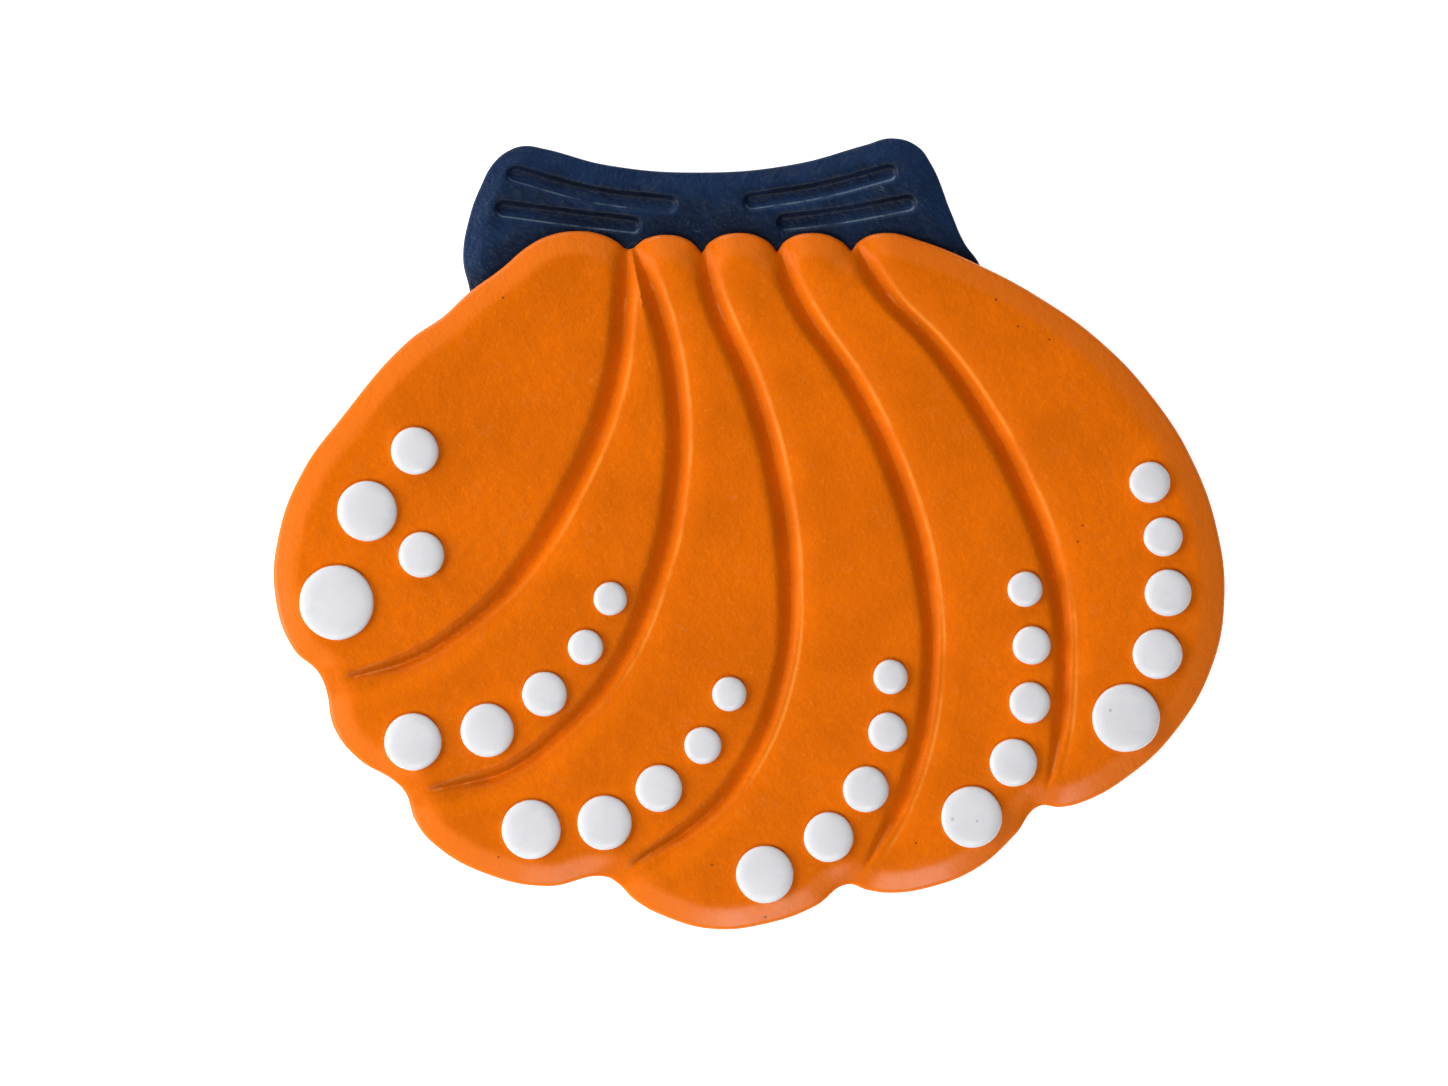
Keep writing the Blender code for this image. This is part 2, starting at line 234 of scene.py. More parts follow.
class PlaqueHingeSettings(bpy.types.PropertyGroup):
    """Sizes and colour of the navy hinge band."""

    flat_height: FloatProperty(name="Flat height", default=4.4 * MM, unit="LENGTH",
                               description="Height of the band's flat face above the back")
    rim_height: FloatProperty(name="Rim height", default=3.9 * MM, unit="LENGTH",
                              description="Height of the free edge above the back")
    band_width: FloatProperty(name="Edge width", default=1.9 * MM, unit="LENGTH",
                              description="Width of the slope inside the free edge")
    rim_rounding: FloatProperty(name="Edge rounding", default=0.2 * MM, unit="LENGTH",
                                description="Radius of the free edge")
    slot_depth: FloatProperty(name="Slot depth", default=0.6 * MM, unit="LENGTH",
                              description="Depth of the slots")
    slot_width: FloatProperty(name="Slot width", default=1.5 * MM, unit="LENGTH",
                              description="Width of the slots at half their depth")
    waviness: FloatProperty(name="Waviness", default=0.03 * MM, unit="LENGTH",
                            description="How far the moulded face wanders from true")
    colour: FloatVectorProperty(name="Navy", default=(0.0055, 0.017, 0.051), subtype="COLOR",
                                size=3, min=0.0, max=1.0, description="Colour of the hinge rubber")


class PlaqueDotSettings(bpy.types.PropertyGroup):
    """Sizes and colour of the white dots."""

    top_height: FloatProperty(name="Top height", default=6.8 * MM, unit="LENGTH",
                              description="Height of the dots' tops above the back")
    foot_height: FloatProperty(name="Foot height", default=5.7 * MM, unit="LENGTH",
                               description="Height of the dots' feet above the back")
    shoulder: FloatProperty(name="Shoulder", default=0.38, min=0.01, max=0.9, subtype="FACTOR",
                            description="Width of the rounded shoulder as a share of the radius")
    shoulder_drop: FloatProperty(name="Shoulder drop", default=0.28 * MM, unit="LENGTH",
                                 description="Height of the rounded shoulder")
    dome: FloatProperty(name="Dome", default=0.18 * MM, unit="LENGTH",
                        description="How far the middle of a dot's top stands above its sides")
    wobble: FloatProperty(name="Wobble", default=0.12 * MM, unit="LENGTH",
                          description="How far the dots' edges wander from round")
    sides: IntProperty(name="Sides", default=80, min=12, max=200,
                       description="Corners round each dot")
    colour: FloatVectorProperty(name="White", default=(0.80, 0.80, 0.83), subtype="COLOR",
                                size=3, min=0.0, max=1.0, description="Colour of the dot rubber")


class PlaqueStageSettings(bpy.types.PropertyGroup):
    """Camera, lights and floor."""

    view_width: FloatProperty(name="View width", default=152.04 * MM, unit="LENGTH",
                              description="Width of what the camera sees at the moulded face")
    view_centre: FloatVectorProperty(name="View centre", default=(-2.57 * MM, -1.05 * MM),
                                     size=2, unit="LENGTH",
                                     description="Place that the camera looks at")
    lens: FloatProperty(name="Lens", default=300.0, min=20.0, max=400.0,
                        description="Focal length of the camera in millimetres")
    light_size: FloatProperty(name="Light size", default=0.5, unit="LENGTH",
                              description="Width of each soft light")
    light_distance: FloatProperty(name="Light distance", default=0.8, unit="LENGTH",
                                  description="Distance of each soft light from the plaque")
    left_light: FloatProperty(name="Left light", default=6.0, min=0.0,
                              description="Power of the soft light on the left")
    near_light: FloatProperty(name="Near light", default=3.0, min=0.0,
                              description="Power of the soft light in front")
    far_light: FloatProperty(name="Far light", default=3.0, min=0.0,
                             description="Power of the soft light beyond the hinge")
    daylight: FloatProperty(name="Daylight", default=0.08, min=0.0,
                            description="Strength of the even light all round")


# ---------------------------------------------------------------- lines and plans

def smooth_line(points, closed, spacing, corners=()):
    """Points about spacing apart on a Bezier curve that passes smoothly through points."""
    curve = bpy.data.curves.new("line", "CURVE")
    curve.dimensions = "3D"
    curve.resolution_u = CURVE_STEPS
    spline = curve.splines.new("BEZIER")
    spline.bezier_points.add(len(points) - 1)
    for bezier_point, point in zip(spline.bezier_points, points):
        handle_type = "VECTOR" if point in corners else "AUTO"
        bezier_point.co = (point[0], point[1], 0.0)
        bezier_point.handle_left_type = handle_type
        bezier_point.handle_right_type = handle_type
    spline.use_cyclic_u = closed
    holder = bpy.data.objects.new("line", curve)
    bpy.context.scene.collection.objects.link(holder)
    bpy.context.view_layer.update()
    mesh = bpy.data.meshes.new_from_object(holder.evaluated_get(bpy.context.evaluated_depsgraph_get()))
    fine = np.array([vertex.co[:2] for vertex in mesh.vertices])
    bpy.data.objects.remove(holder)
    bpy.data.meshes.remove(mesh)
    if closed:
        fine = np.vstack([fine, fine[:1]])
    line = []
    for start in range(0, len(fine) - 1, CURVE_STEPS):
        stretch = fine[start:start + CURVE_STEPS + 1]
        lengths = np.concatenate([[0.0], np.cumsum(np.hypot(*np.diff(stretch, axis=0).T))])
        steps = max(1, round(lengths[-1] / spacing))
        places = np.linspace(0.0, lengths[-1], steps + 1)[:-1]
        line += zip(*(np.interp(places, lengths, stretch[:, axis]) for axis in (0, 1)))
    if not closed:
        line.append(tuple(fine[-1]))
    return np.array(line)


def rightward(line, closed):
    """Unit vectors to the right of a line at each of its points."""
    if closed:
        along = np.roll(line, -1, axis=0) - np.roll(line, 1, axis=0)
    else:
        along = np.gradient(line, axis=0)
    along /= np.hypot(along[:, 0], along[:, 1])[:, None]
    return np.column_stack([along[:, 1], -along[:, 0]])


def distance_to(points, line, closed):
    """Distance from each point to the nearest place on a line."""
    starts = line if closed else line[:-1]
    ends = np.roll(line, -1, axis=0) if closed else line[1:]
    nearest = np.full(len(points), np.inf)
    for start, end in zip(starts, ends):
        along = end - start
        share = np.clip((points - start) @ along / (along @ along), 0.0, 1.0)
        gap = points - start - share[:, None] * along
        nearest = np.minimum(nearest, np.hypot(gap[:, 0], gap[:, 1]))
    return nearest


def inside(points, loop):
    """Whether each point lies inside a closed loop."""
    crossings = np.zeros(len(points), int)
    for start, end in zip(loop, np.roll(loop, -1, axis=0)):
        between = (start[1] > points[:, 1]) != (end[1] > points[:, 1])
        rise = end[1] - start[1] if end[1] != start[1] else 1.0
        crossing = start[0] + (points[:, 1] - start[1]) * (end[0] - start[0]) / rise
        crossings += between & (points[:, 0] < crossing)
    return crossings % 2 == 1


class Scatter:
    """Gathers points, and leaves out each that would crowd one gathered before."""

    CELL = 0.5

    def __init__(self, points):
        self.points = []
        self.cells = {}
        for x, y in points:
            self.keep(x, y)

    def cell(self, x, y):
        return math.floor(x / self.CELL), math.floor(y / self.CELL)

    def keep(self, x, y):
        self.cells.setdefault(self.cell(x, y), []).append(len(self.points))
        self.points.append((x, y))

    def add(self, points, room):
        reach = math.ceil(room / self.CELL)
        for x, y in points:
            column, row = self.cell(x, y)
            around = [
                self.points[number]
                for across in range(column - reach, column + reach + 1)
                for up in range(row - reach, row + reach + 1)
                for number in self.cells.get((across, up), ())
            ]
            if all((x - a) ** 2 + (y - b) ** 2 >= room * room for a, b in around):
                self.keep(x, y)


def half_round(centre, heading, radius):
    """Points on the half circle that closes a row round the end of a line."""
    steps = max(3, round(math.pi * radius / EDGE_SPACING))
    angles = heading + np.linspace(-math.pi / 2, math.pi / 2, 2 * steps + 1)
    return centre + radius * np.column_stack([np.cos(angles), np.sin(angles)])


def rows_beside(line, closed, distances, sides, round_ends=False):
    """Rows of points at the given distances from a line, with the room that each row needs."""
    across = rightward(line, closed)
    rows = []
    for distance in distances:
        nearby = [abs(distance - other) for other in distances if other != distance]
        room = SHARE_OF_SPACING * min(nearby + [EDGE_SPACING])
        for side in sides if distance else sides[:1]:
            row = line + across * distance * side
            clear = distance_to(row, line, closed) >= distance - ROW_TOLERANCE * EDGE_SPACING
            rows.append((row[clear], room))
        if round_ends and distance:
            for end, before in ((line[0], line[1]), (line[-1], line[-2])):
                heading = math.atan2(end[1] - before[1], end[0] - before[0])
                rows.append((half_round(end, heading, distance), room))
    return rows


def plan_triangles(region, hole, rows):
    """A flat triangulated plan of a region without a hole, as points and triangles in millimetres."""
    borders = [region] if hole is None else [region, hole]
    scatter = Scatter(point for border in borders for point in border)
    low, high = region.min(axis=0), region.max(axis=0)
    fill = []
    for number, y in enumerate(np.arange(low[1], high[1], FILL_SPACING * math.sqrt(0.75))):
        shift = FILL_SPACING / 2 if number % 2 else 0.0
        fill += [(x + shift, y) for x in np.arange(low[0], high[0], FILL_SPACING)]
    for row, room in rows + [(np.array(fill), FILL_ROOM * FILL_SPACING)]:
        kept = row[inside(row, region)]
        if hole is not None:
            kept = kept[~inside(kept, hole)]
        scatter.add(kept, room)
    loops, first = [], 0
    for border in borders:
        loops.append(list(range(first, first + len(border)))[::-1])
        first += len(border)
    places = [Vector(point) for point in scatter.points]
    places, _, triangles, _, _, sources = delaunay_2d_cdt(places, [], loops, 1, MERGE)
    kept = [triangle for triangle, source in zip(triangles, sources) if 0 in source and 1 not in source]
    return [tuple(place) for place in places], kept


def blank(name, region, hole, rows, foot_inset=0.0):
    """A closed flat-faced block on the plan, whose upper face is marked for the relief."""
    places, triangles = plan_triangles(region, hole, rows)
    shape = bmesh.new()
    mark = shape.verts.layers.float.new(TOP_MARK)
    upper = {}
    for triangle in triangles:
        for number in triangle:
            if number not in upper:
                upper[number] = shape.verts.new((*places[number], BLANK_HEIGHT))
                upper[number][mark] = 1.0
        face = shape.faces.new([upper[number] for number in triangle])
        if face.normal.length == 0.0:
            face.normal_update()
        if face.normal.z < 0.0:
            face.normal_flip()
    shape.normal_update()
    border = [edge for edge in shape.edges if edge.is_boundary]
    inward = {}
    for edge in border:
        loop = edge.link_loops[0]
        start, end = loop.vert, loop.link_loop_next.vert
        along = (end.co - start.co).normalized()
        for vertex in (start, end):
            inward.setdefault(vertex, Vector()).xy += Vector((-along.y, along.x))
    lower, foot = {}, {}
    for vertex, direction in inward.items():
        step = direction.normalized() * foot_inset
        lower[vertex] = shape.verts.new((vertex.co.x, vertex.co.y, FOOT_HEIGHT))
        foot[vertex] = shape.verts.new((vertex.co.x + step.x, vertex.co.y + step.y, 0.0))
    rim = []
    for edge in border:
        loop = edge.link_loops[0]
        start, end = loop.vert, loop.link_loop_next.vert
        shape.faces.new((end, start, lower[start], lower[end]))
        shape.faces.new((lower[end], lower[start], foot[start], foot[end]))
        rim.append((start, end))
    ring = list(foot)
    index = {vertex: number for number, vertex in enumerate(ring)}
    corners = [Vector(foot[vertex].co.xy) for vertex in ring]
    back = delaunay_2d_cdt(corners, [(index[a], index[b]) for a, b in rim], [], 1, MERGE)
    for triangle in back[2]:
        face = shape.faces.new([foot[ring[number]] for number in triangle])
        face.normal_update()
        if face.normal.z > 0.0:
            face.normal_flip()
    bmesh.ops.scale(shape, verts=shape.verts, vec=(MM, MM, MM))
    mesh = bpy.data.meshes.new(name)
    shape.to_mesh(mesh)
    shape.free()
    return mesh


def guide(name, lines, closed):
    """An object of bare edges along lines, from which a relief measures its distances."""
    points, edges = [], []
    for line in lines:
        first = len(points)
        points += [(x * MM, y * MM, 0.0) for x, y in line]
        edges += [(number, number + 1) for number in range(first, len(points) - 1)]
        if closed:
            edges.append((len(points) - 1, first))
    mesh = bpy.data.meshes.new(name)
    mesh.from_pydata(points, edges, [])
    return linked(bpy.data.objects.new(name, mesh))


def linked(piece):
    bpy.context.scene.collection.objects.link(piece)
    return piece


# ---------------------------------------------------------------- node trees

class Weave:
    """Adds nodes to a tree and links them, so that a rule reads like a formula."""

    PER_ROW = 14

    def __init__(self, tree):
        self.tree = tree
        self.count = 0

    def feed(self, socket, value):
        if isinstance(value, bpy.types.NodeSocket):
            self.tree.links.new(value, socket)
        elif value is not None:
            socket.default_value = value

    def node(self, kind, settings=None, inputs=None):
        node = self.tree.nodes.new(kind)
        node.location = (200 * (self.count % self.PER_ROW), -260 * (self.count // self.PER_ROW))
        self.count += 1
        for name, value in (settings or {}).items():
            setattr(node, name, value)
        for name, value in (inputs or {}).items():
            self.feed(node.inputs[name], value)
        return node

    def math(self, operation, *values):
        node = self.node("ShaderNodeMath", {"operation": operation})
        for socket, value in zip(node.inputs, values):
            self.feed(socket, value)
        return node.outputs[0]

    def vector(self, operation, *values):
        node = self.node("ShaderNodeVectorMath", {"operation": operation})
        for socket, value in zip(node.inputs, values):
            self.feed(socket, value)
        return node.outputs["Value" if operation in {"LENGTH", "DISTANCE", "DOT_PRODUCT"} else "Vector"]

    def product(self, first, *others):
        for other in others:
            first = self.math("MULTIPLY", first, other)
        return first

    def less(self, first, second):
        return self.math("SUBTRACT", first, second)

    def rest(self, share):
        """What is left of 1 beside a share."""
        return self.math("SUBTRACT", 1.0, share)

    def apart(self, first, second):
        return self.math("ABSOLUTE", self.less(first, second))

    def mix(self, share, first, second):
        """A number that goes from first to second as share goes from 0 to 1."""
        return self.math("MULTIPLY_ADD", share, self.less(second, first), first)

    def flat(self, vector):
        """A vector without its height."""
        return self.vector("MULTIPLY", vector, (1.0, 1.0, 0.0))

    def parts(self, vector):
        return self.node("ShaderNodeSeparateXYZ", {}, {"Vector": vector}).outputs

    def joined(self, x, y, z):
        return self.node("ShaderNodeCombineXYZ", {}, {"X": x, "Y": y, "Z": z}).outputs[0]

    def spread(self, value, low, high, to_low, to_high, kind="SMOOTHSTEP"):
        node = self.node("ShaderNodeMapRange", {"interpolation_type": kind}, {
            "Value": value, "From Min": low, "From Max": high, "To Min": to_low, "To Max": to_high,
        })
        return node.outputs[0]

    def rise(self, value, low, high, amount=1.0):
        """0 up to low, and amount from high on."""
        return self.spread(value, low, high, 0.0, amount)

    def fade(self, value, low, high, amount=1.0):
        """Amount up to low, and 0 from high on."""
        return self.spread(value, low, high, amount, 0.0)

    def noise(self, position, scale, detail=2.0, roughness=0.5, output=0):
        return self.node("ShaderNodeTexNoise", {}, {
            "Vector": position, "Scale": scale, "Detail": detail, "Roughness": roughness,
        }).outputs[output]


def new_tree(name, inputs):
    """A geometry tree with a Geometry input and output, and inputs named under their kinds."""
    tree = bpy.data.node_groups.new(name, "GeometryNodeTree")
    for way in ("INPUT", "OUTPUT"):
        tree.interface.new_socket("Geometry", in_out=way, socket_type="NodeSocketGeometry")
    for kind, names in inputs.items():
        for input_name in names:
            tree.interface.new_socket(input_name, in_out="INPUT", socket_type="NodeSocket" + kind)
    weave = Weave(tree)
    return tree, weave, weave.node("NodeGroupInput").outputs, weave.node("NodeGroupOutput").inputs


def end_tree(tree, weave, given, result, geometry):
    """Make the geometry real, put the given material on it and send it out."""
    real = weave.node("GeometryNodeRealizeInstances", {}, {"Geometry": geometry}).outputs[0]
    dressed = weave.node("GeometryNodeSetMaterial", {}, {"Geometry": real, "Material": given["Material"]})
    weave.feed(result["Geometry"], dressed.outputs[0])
    return tree


RELIEF_INPUTS = {
    "Object": ("Edge", "Channels", "Neighbour"),
    "Float": (
        "Flat height", "Rim height", "Band width", "Band softness", "Rim rounding", "Waviness",
        "Channel depth", "Channel floor", "Left wall", "Right wall", "Level share", "Level depth",
        "Roll depth", "Roll width", "Valley softness", "Crest softness", "Left crest softness",
        "Corner softness", "Corner reach", "Channel run-out", "Open beyond",
    ),
    "Material": ("Material",),
}


def relief_tree():
    """Heights of a moulded face from the distances to its edge and to its channels."""
    tree, weave, given, result = new_tree("Moulded relief", RELIEF_INPUTS)
    position = weave.node("GeometryNodeInputPosition").outputs[0]
    split = weave.parts(position)
    flat_place = weave.flat(position)

    def lines_of(name):
        return weave.node("GeometryNodeObjectInfo", {}, {"Object": given[name]}).outputs["Geometry"]

    def nearest(name):
        return weave.node("GeometryNodeProximity", {"target_element": "EDGES"},
                          {0: lines_of(name), "Sample Position": flat_place}).outputs

    def heading(name):
        """Direction of the nearest piece of a line, the same on both its sides and on the line itself."""
        lines = lines_of(name)
        piece = weave.node("GeometryNodeSampleNearest", {"domain": "EDGE"},
                           {"Geometry": lines, "Sample Position": flat_place}).outputs["Index"]
        ends = weave.node("GeometryNodeInputMeshEdgeVertices").outputs
        run = weave.vector("NORMALIZE", weave.vector("SUBTRACT", ends["Position 2"], ends["Position 1"]))
        return weave.node("GeometryNodeSampleIndex", {"domain": "EDGE", "data_type": "FLOAT_VECTOR"},
                          {"Geometry": lines, "Value": run, "Index": piece}).outputs["Value"]

    edge = nearest("Edge")["Distance"]
    to_channel = nearest("Channels")
    channel = to_channel["Distance"]
    flat, rim, run_length = given["Flat height"], given["Rim height"], given["Channel run-out"]

    # The flat face, and the band that slopes from it to the edge.
    slope = weave.math("DIVIDE", weave.less(flat, rim), given["Band width"])
    band = weave.math("MULTIPLY_ADD", edge, slope, rim)
    face = weave.math("SMOOTH_MIN", band, flat, given["Band softness"])

    # The side of the channel that a point is on, and how level the channel runs there.
    away = weave.vector("SUBTRACT", flat_place, to_channel["Position"])
    sideways = weave.parts(away)["X"]
    on_left = weave.fade(sideways, -SIDE_BLUR, SIDE_BLUR)
    below = weave.vector("DOT_PRODUCT", weave.vector("NORMALIZE", away), (0.0, -1.0, 0.0))
    across = weave.math("ABSOLUTE", weave.vector("DOT_PRODUCT", heading("Channels"), (1.0, 0.0, 0.0)))
    levelness = weave.rise(across, LEVEL_FROM, LEVEL_TO)
    level = weave.product(levelness, given["Level share"])

    # The channel runs out towards the edge unless its end is open, and level and low parts are shallower.
    open_end = weave.math("GREATER_THAN", split["Y"], given["Open beyond"])
    run_out = weave.spread(edge, weave.product(run_length, 0.12), run_length, 0.0, 1.0, "LINEAR")
    shallow = weave.math("MULTIPLY_ADD", levelness, weave.less(given["Level depth"], 1.0), 1.0)
    low = weave.fade(split["Y"], LOW_TO, LOW_FROM, LOW_LOSS)
    shallow = weave.less(shallow, weave.product(low, weave.rest(levelness)))
    depth = weave.product(given["Channel depth"], weave.math("MAXIMUM", run_out, open_end), shallow)

    # The walls swap sides where the channel is level, so that the steeper one is the upper one.
    wall_side = weave.mix(level, on_left, weave.rest(on_left))
    wall_width = weave.mix(wall_side, given["Right wall"], given["Left wall"])
    beyond_floor = weave.less(channel, given["Channel floor"])
    up_wall = weave.math("SMOOTH_MAX", beyond_floor, 0.0, weave.product(given["Valley softness"], shallow))
    steepness = weave.math("DIVIDE", given["Channel depth"], wall_width)
    wall = weave.math("MULTIPLY_ADD", up_wall, steepness, weave.less(flat, depth))
    crest = weave.mix(wall_side, given["Crest softness"], given["Left crest softness"])
    corner = weave.fade(edge, weave.product(given["Corner reach"], 0.2), given["Corner reach"])
    crest = weave.math("MULTIPLY_ADD", weave.product(corner, open_end), given["Corner softness"], crest)

    # The face rolls off towards the channel on its right side.
    roll_start = weave.math("MULTIPLY_ADD", given["Right wall"], 0.8, given["Channel floor"])
    past_crest = weave.math("DIVIDE", weave.less(channel, roll_start), given["Roll width"])
    short = weave.rest(weave.math("MINIMUM", weave.math("MAXIMUM", past_crest, 0.0), 1.0))
    off_band = weave.rise(edge, weave.product(run_length, 0.35), weave.product(run_length, 0.75))
    roll = weave.product(short, short, given["Roll depth"], weave.rest(on_left),
                         weave.math("MAXIMUM", off_band, open_end))
    face = weave.math("SMOOTH_MIN", weave.less(face, roll), wall, crest)

    # The edge is rounded, and the whole face wanders a little.
    nearness = weave.math("MAXIMUM", weave.rest(weave.math("DIVIDE", edge, given["Rim rounding"])), 0.0)
    arc = weave.math("SQRT", weave.rest(weave.product(nearness, nearness)))
    face = weave.less(face, weave.product(weave.rest(arc), given["Rim rounding"]))
    wander = weave.product(weave.less(weave.noise(flat_place, 130.0), 0.5), given["Waviness"])
    face = weave.math("ADD", face, wander)

    placed = given["Geometry"]
    for label, value in (
        ("from_channel", channel), ("from_edge", edge), ("below_channel", below),
        ("left_of_channel", on_left), ("level_channel", levelness),
        ("from_neighbour", nearest("Neighbour")["Distance"]),
    ):
        placed = weave.node("GeometryNodeStoreNamedAttribute", {"data_type": "FLOAT", "domain": "POINT"}, {
            "Geometry": placed, "Name": label, "Value": value,
        }).outputs["Geometry"]
    raised = weave.joined(split["X"], split["Y"], face)
    mark = weave.node("GeometryNodeInputNamedAttribute", {"data_type": "FLOAT"}, {"Name": TOP_MARK})
    moved = weave.node("GeometryNodeSetPosition", {}, {
        "Geometry": placed, "Position": raised,
        "Selection": weave.math("GREATER_THAN", mark.outputs["Attribute"], 0.5),
    }).outputs[0]
    return end_tree(tree, weave, given, result, moved)


def dots_tree():
    """A round-shouldered dot on each point, as wide as the point's radius."""
    tree, weave, given, result = new_tree("Dots", {
        "Float": ("Height", "Shoulder", "Shoulder drop", "Dome", "Wobble"), "Int": ("Sides",),
        "Material": ("Material",),
    })
    drum = weave.node("GeometryNodeMeshCylinder", {"fill_type": "TRIANGLE_FAN"}, {
        "Vertices": given["Sides"], "Side Segments": 2, "Fill Segments": 16, "Radius": 1.0, "Depth": 1.0,
    }).outputs["Mesh"]
    position = weave.node("GeometryNodeInputPosition").outputs[0]
    split = weave.parts(position)
    flat_place = weave.flat(position)
    radius = weave.vector("LENGTH", flat_place)

    # The rings of the top crowd towards the rounded shoulder.
    crowded = weave.math("POWER", radius, 0.55)
    stretch = weave.math("DIVIDE", crowded, weave.math("MAXIMUM", radius, 0.001))
    past = weave.less(crowded, weave.rest(given["Shoulder"]))
    past = weave.math("MAXIMUM", weave.math("DIVIDE", past, given["Shoulder"]), 0.0)
    arc = weave.math("SQRT", weave.math("MAXIMUM", weave.rest(weave.product(past, past)), 0.0))
    drop = weave.product(weave.rest(arc), given["Shoulder drop"])
    swell = weave.product(weave.rest(weave.product(crowded, crowded)), given["Dome"])
    on_top = weave.math("GREATER_THAN", split["Z"], 0.49)
    change = weave.product(weave.less(swell, drop), on_top)
    upright = weave.product(weave.math("ADD", split["Z"], 0.5), given["Height"])
    shaped = weave.joined(weave.product(split["X"], stretch), weave.product(split["Y"], stretch),
                          weave.math("ADD", upright, change))
    dot = weave.node("GeometryNodeSetPosition", {}, {"Geometry": drum, "Position": shaped}).outputs[0]

    size = weave.node("GeometryNodeInputNamedAttribute", {"data_type": "FLOAT"}, {"Name": "radius"})
    size = size.outputs["Attribute"]
    copies = weave.node("GeometryNodeInstanceOnPoints", {}, {
        "Points": given["Geometry"], "Instance": dot, "Scale": weave.joined(size, size, 1.0),
    }).outputs[0]

    # The edges of the real dots wander from round.
    real = weave.node("GeometryNodeRealizeInstances", {}, {"Geometry": copies}).outputs[0]
    wander = weave.vector("SUBTRACT", weave.noise(flat_place, 420.0, 1.0, output="Color"), (0.5, 0.5, 0.5))
    wander = weave.node("ShaderNodeVectorMath", {"operation": "SCALE"}, {
        0: weave.flat(wander), "Scale": given["Wobble"],
    }).outputs[0]
    uneven = weave.node("GeometryNodeSetPosition", {}, {"Geometry": real, "Offset": wander}).outputs[0]
    return end_tree(tree, weave, given, result, uneven)


def grown_from(mesh, name, tree, values, sharp_angle):
    """The plain mesh object that a geometry tree makes of a mesh, with the tree's named inputs set."""
    piece = linked(bpy.data.objects.new(name, mesh))
    modifier = piece.modifiers.new(tree.name, "NODES")
    modifier.node_group = tree
    for item in tree.interface.items_tree:
        if item.in_out == "INPUT" and item.name in values:
            modifier[item.identifier] = values[item.name]
    bpy.context.view_layer.update()
    made = bpy.data.meshes.new_from_object(piece.evaluated_get(bpy.context.evaluated_depsgraph_get()))
    piece.modifiers.clear()
    piece.data = made
    made.name = name
    made.shade_smooth()
    made.set_sharp_from_angle(angle=math.radians(sharp_angle))
    return piece


# ---------------------------------------------------------------- finishes

class Finish(Weave):
    """The nodes of a material, whose base colour is built up in coats."""

    def __init__(self, name, colour=WHITE[:3]):
        self.material = bpy.data.materials.new(name)
        self.material.use_nodes = True
        super().__init__(self.material.node_tree)
        self.shader = self.tree.nodes["Principled BSDF"]
        self.place = self.node("ShaderNodeTexCoord").outputs["Object"]
        self.colour = colour
        self.base = None

    def askew(self):
        """The place turned about a slanting axis, so that noise cells don't line up with the part."""
        return self.node("ShaderNodeVectorRotate", {"rotation_type": "AXIS_ANGLE"}, {
            "Vector": self.place, "Axis": (0.6, 0.5, 0.62), "Angle": 0.9,
        }).outputs[0]

    def stored(self, name):
        """A measure that the relief tree has stored on the mesh."""
        return self.node("ShaderNodeAttribute", {"attribute_name": name}).outputs["Fac"]

    def tone(self, tone):
        """A tone as it is, or the finish's own colour times a factor."""
        if isinstance(tone, tuple):
            return tone
        return tuple(min(1.0, part * tone) for part in self.colour) + (1.0,)

    def coat(self, share, tone):
        """Lay a tone over the base colour, fully where share is 1 and not at all where it is 0."""
        node = self.node("ShaderNodeMix", {"data_type": "RGBA"}, {"Factor": share})
        self.feed(node.inputs[6], self.base)
        self.feed(node.inputs[7], self.tone(tone))
        self.base = node.outputs[2]

    def pinholes(self, holes):
        """1 in a pinhole and 0 elsewhere."""
        flat_place = self.flat(self.place)
        total = None
        for x, y, diameter in holes:
            gap = self.vector("DISTANCE", flat_place, (x * MM, y * MM, 0.0))
            hole = self.fade(gap, 0.25 * diameter * MM, 0.6 * diameter * MM)
            total = hole if total is None else self.math("MAXIMUM", total, hole)
        return total

    def lint(self, amount):
        """Thin short hairs that lie every way: narrow bands of a stretched noise, kept in a few spots."""
        turned = self.node("ShaderNodeVectorRotate", {"rotation_type": "Z_AXIS"}, {
            "Vector": self.place, "Angle": self.product(self.noise(self.place, 60.0), 12.0),
        }).outputs[0]
        stretched = self.vector("MULTIPLY", turned, (1.0, 5.0, 1.0))
        strand = self.apart(self.noise(stretched, 420.0, 1.0), 0.5)
        spot = self.rise(self.noise(self.place, 330.0, 1.0), 0.62, 0.68)
        return self.product(self.fade(strand, 0.004, 0.014), spot, amount)

    def finished(self, looks, height=None, depth=0.0):
        """The material with its shader set, and bumped by a height that counts for depth metres."""
        for name, value in {"Base Color": self.base, **looks}.items():
            self.feed(self.shader.inputs[name], value)
        if height is not None:
            bump = self.node("ShaderNodeBump", {}, {"Height": height, "Distance": depth, "Strength": 1.0})
            self.feed(self.shader.inputs["Normal"], bump.outputs[0])
        return self.material


